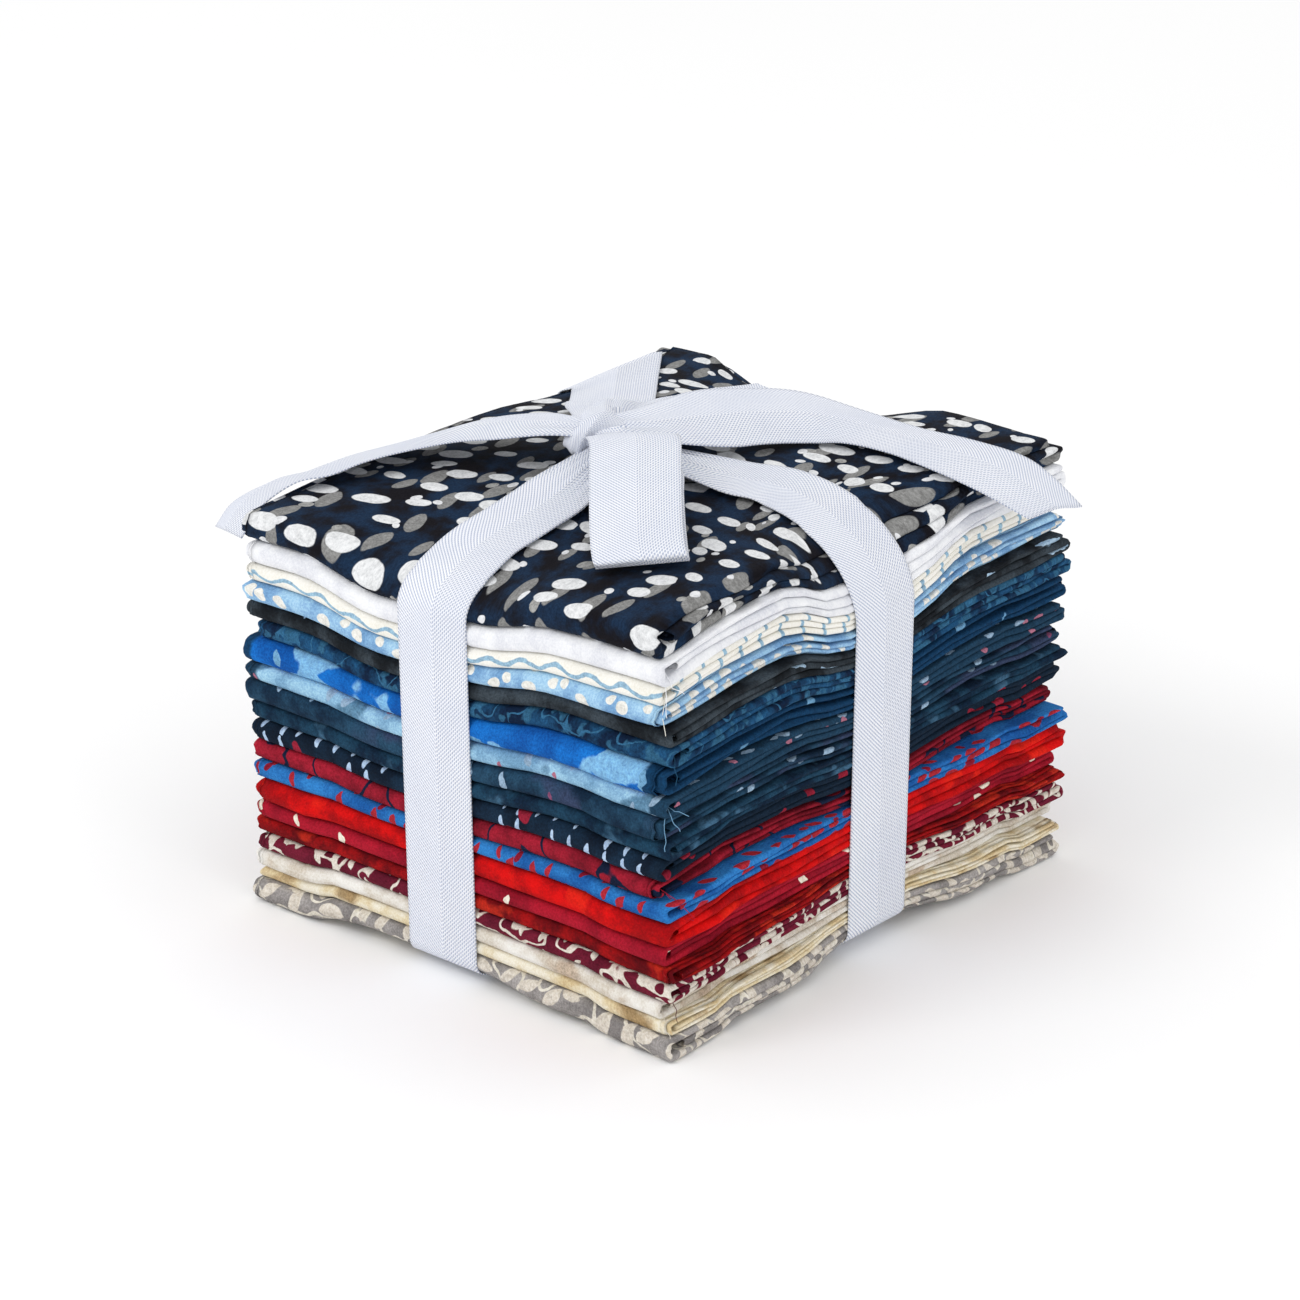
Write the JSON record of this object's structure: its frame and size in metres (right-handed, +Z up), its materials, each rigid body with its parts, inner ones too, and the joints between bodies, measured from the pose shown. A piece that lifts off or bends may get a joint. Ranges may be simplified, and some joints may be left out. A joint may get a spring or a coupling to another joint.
{
  "type": "fat quarter bundle",
  "caption": "Square stack of folded cotton quilting cuts in dyed prints, tied both ways with a flat twill ribbon that ends in a knot, a front loop and two free ends.",
  "frame": {"origin": "on the surface it rests on, under the middle of the stack, on the underside of the ribbon", "axes": "+Z up; the rounded folds face -Y and the ends of the layers face +X"},
  "size_m": [0.2074, 0.1809, 0.1476],
  "materials": {
    "cotton_navy_spotted": "plain-weave cotton, near-black navy with white and grey spots",
    "cotton_white_mottled": "plain-weave cotton, faintly mottled white",
    "cotton_cream_wavy": "plain-weave cotton, cream with light blue waves",
    "cotton_sky_dotted": "plain-weave cotton, light blue with cream dots",
    "cotton_charcoal": "plain-weave cotton, mottled charcoal",
    "cotton_deep_blue": "plain-weave cotton, mottled deep blue",
    "cotton_bright_blue": "plain-weave cotton, bright blue with pale patches",
    "cotton_pale_blue": "plain-weave cotton, mottled pale grey-blue",
    "cotton_slate_blue": "plain-weave cotton, slate blue with small light dabs",
    "cotton_dark_teal": "plain-weave cotton, mottled dark teal",
    "cotton_navy_dashed": "plain-weave cotton, navy with light dashes",
    "cotton_crimson": "plain-weave cotton, crimson with navy twigs",
    "cotton_mid_blue": "plain-weave cotton, mid blue with red dabs",
    "cotton_bright_red": "plain-weave cotton, mottled bright red",
    "cotton_crimson_dabs": "plain-weave cotton, crimson with cream dabs",
    "cotton_dark_red": "plain-weave cotton, mottled dark red",
    "cotton_maroon_scrolled": "plain-weave cotton, maroon with cream sprigs",
    "cotton_cream_mottled": "plain-weave cotton, mottled cream",
    "cotton_butter_cream": "plain-weave cotton, butter cream",
    "cotton_grey_beige": "plain-weave cotton, grey with cream leaves",
    "ribbon_white": "white herringbone twill tape"
  },
  "bodies": {
    "root": {"fat_quarter_01_navy_spotted": "cotton_navy_spotted", "fat_quarter_02_white_mottled": "cotton_white_mottled", "fat_quarter_03_cream_wavy": "cotton_cream_wavy", "fat_quarter_04_sky_dotted": "cotton_sky_dotted", "fat_quarter_05_charcoal": "cotton_charcoal", "fat_quarter_06_deep_blue": "cotton_deep_blue", "fat_quarter_07_bright_blue": "cotton_bright_blue", "fat_quarter_08_pale_blue": "cotton_pale_blue", "fat_quarter_09_slate_blue": "cotton_slate_blue", "fat_quarter_10_dark_teal": "cotton_dark_teal", "fat_quarter_11_navy_dashed": "cotton_navy_dashed", "fat_quarter_12_crimson": "cotton_crimson", "fat_quarter_13_mid_blue": "cotton_mid_blue", "fat_quarter_14_bright_red": "cotton_bright_red", "fat_quarter_15_crimson_dabs": "cotton_crimson_dabs", "fat_quarter_16_dark_red": "cotton_dark_red", "fat_quarter_17_maroon_scrolled": "cotton_maroon_scrolled", "fat_quarter_18_cream_mottled": "cotton_cream_mottled", "fat_quarter_19_butter_cream": "cotton_butter_cream", "fat_quarter_20_grey_beige": "cotton_grey_beige", "ribbon": "ribbon_white"}
  },
  "joints": []
}
